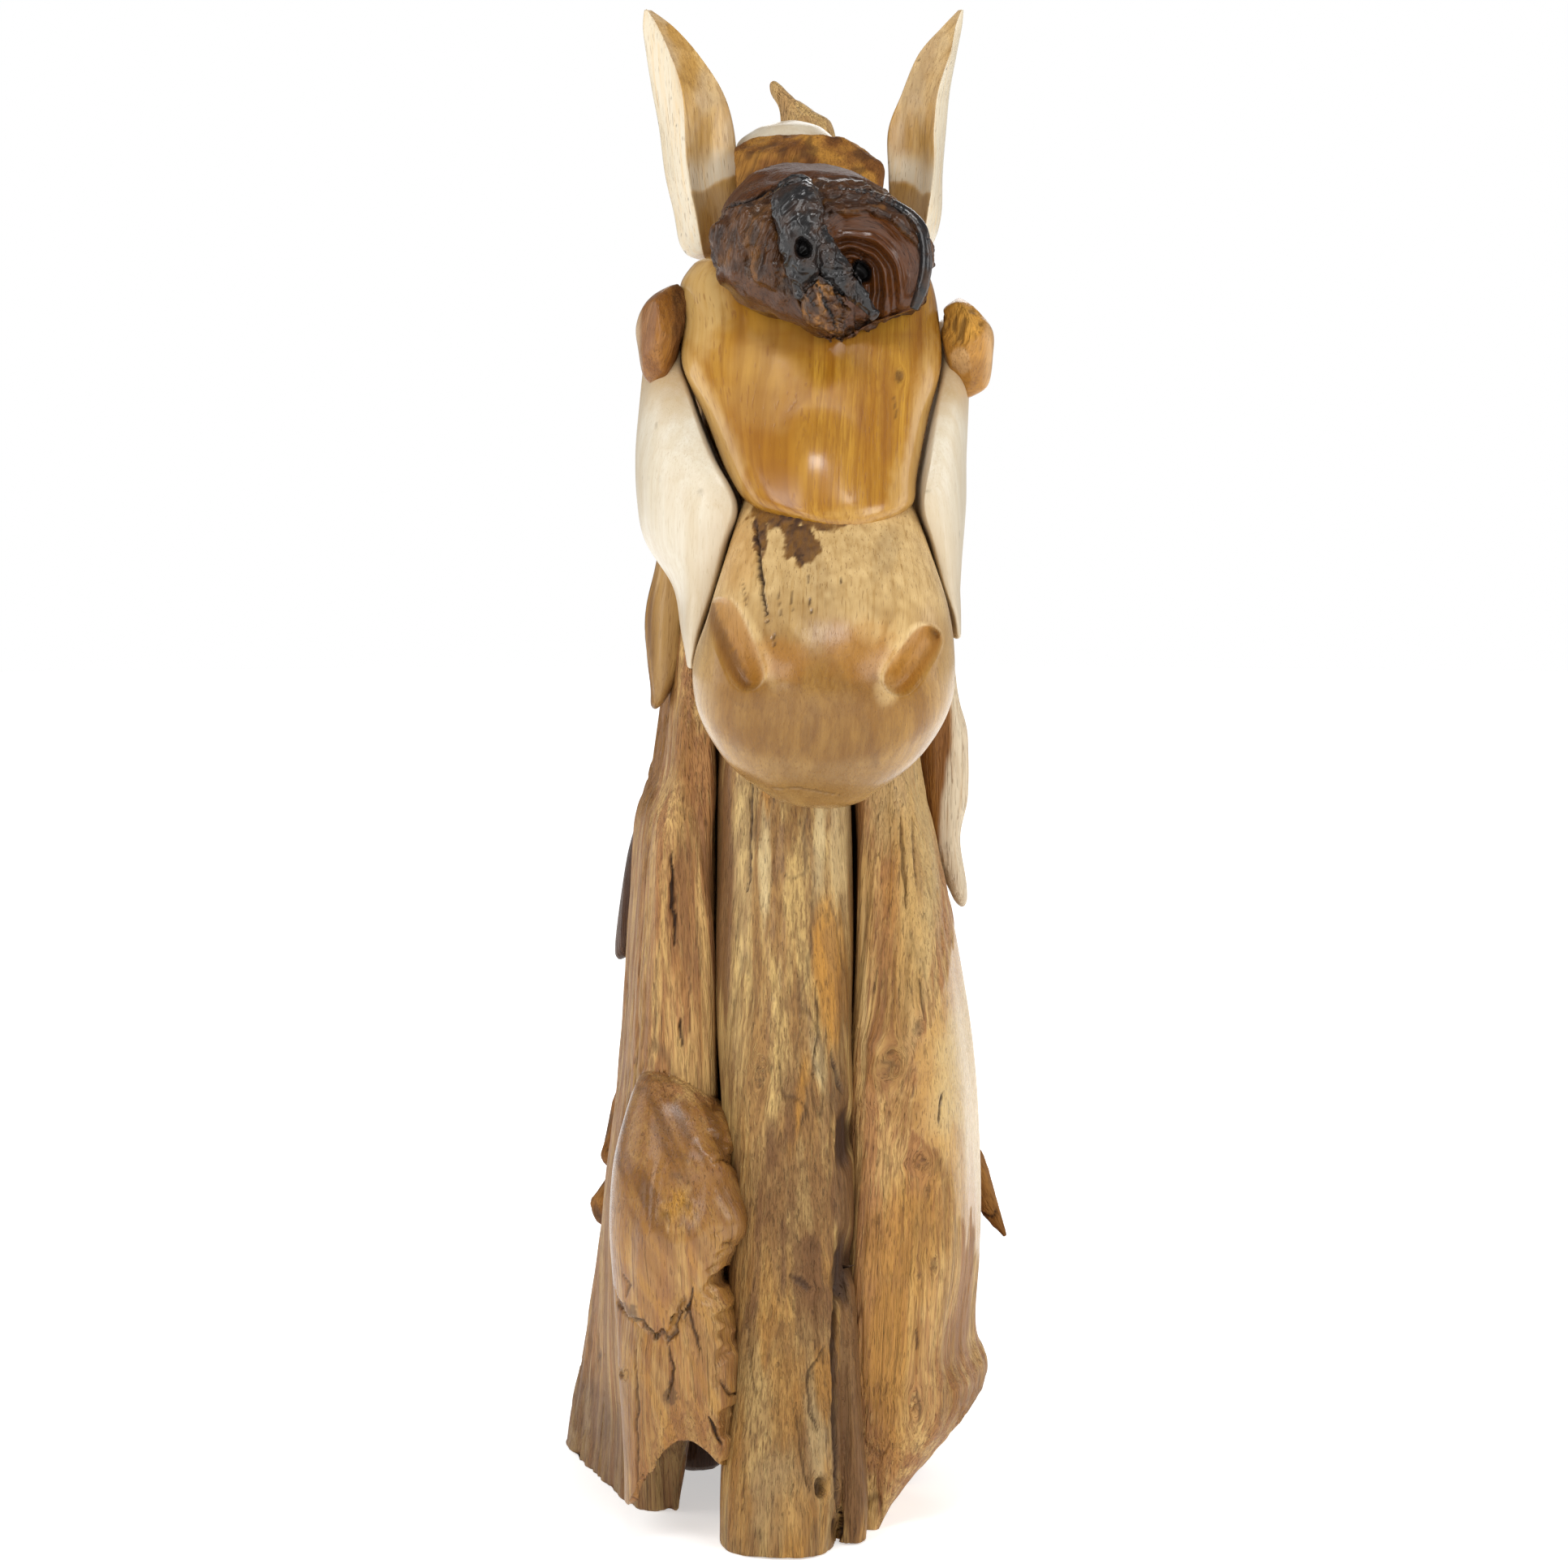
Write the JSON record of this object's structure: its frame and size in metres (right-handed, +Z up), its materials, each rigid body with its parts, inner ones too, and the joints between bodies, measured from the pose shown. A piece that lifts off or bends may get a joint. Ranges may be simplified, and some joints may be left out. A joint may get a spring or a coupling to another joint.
{
  "type": "driftwood horse head sculpture",
  "caption": "Floor-standing horse head and neck built up from polished and weathered lumps and planks of teak driftwood, with upright ears and a gnarled burl forelock.",
  "frame": {"origin": "on the floor, under the middle of the sculpture's bounding box", "axes": "+Z up, the horse faces -Y, +X to the right of someone facing it"},
  "size_m": [0.4251, 0.6609, 1.35],
  "materials": {
    "honey": "polished honey-gold teak with vertical grain",
    "tan": "polished tan teak with mottled grain",
    "sapwood": "smooth pale sapwood",
    "brown": "brown root wood, partly polished",
    "burl": "dark gnarled root wood, rough and partly charred",
    "weathered": "weathered plank with open grain, cracks and knots"
  },
  "bodies": {
    "root": {"forehead": "honey", "muzzle": "tan", "forelock_burl": "burl", "eye_left": "brown", "eye_right": "brown", "ear_left": "tan", "ear_right": "tan", "cheek_left": "sapwood", "cheek_right": "sapwood", "crest_cap": "sapwood", "mane_top": "weathered", "poll_block": "brown", "throat_slab_left": "tan", "neck_slab_left": "weathered", "chest_log": "weathered", "neck_slab_right": "weathered", "mane_sliver_right": "brown", "mane_sliver_left": "burl", "mane_root_upper_left": "brown", "mane_root_lower_left": "brown", "mane_root_right": "brown", "back_log_left": "burl", "back_log_right": "brown", "crest_log": "weathered"}
  },
  "joints": []
}
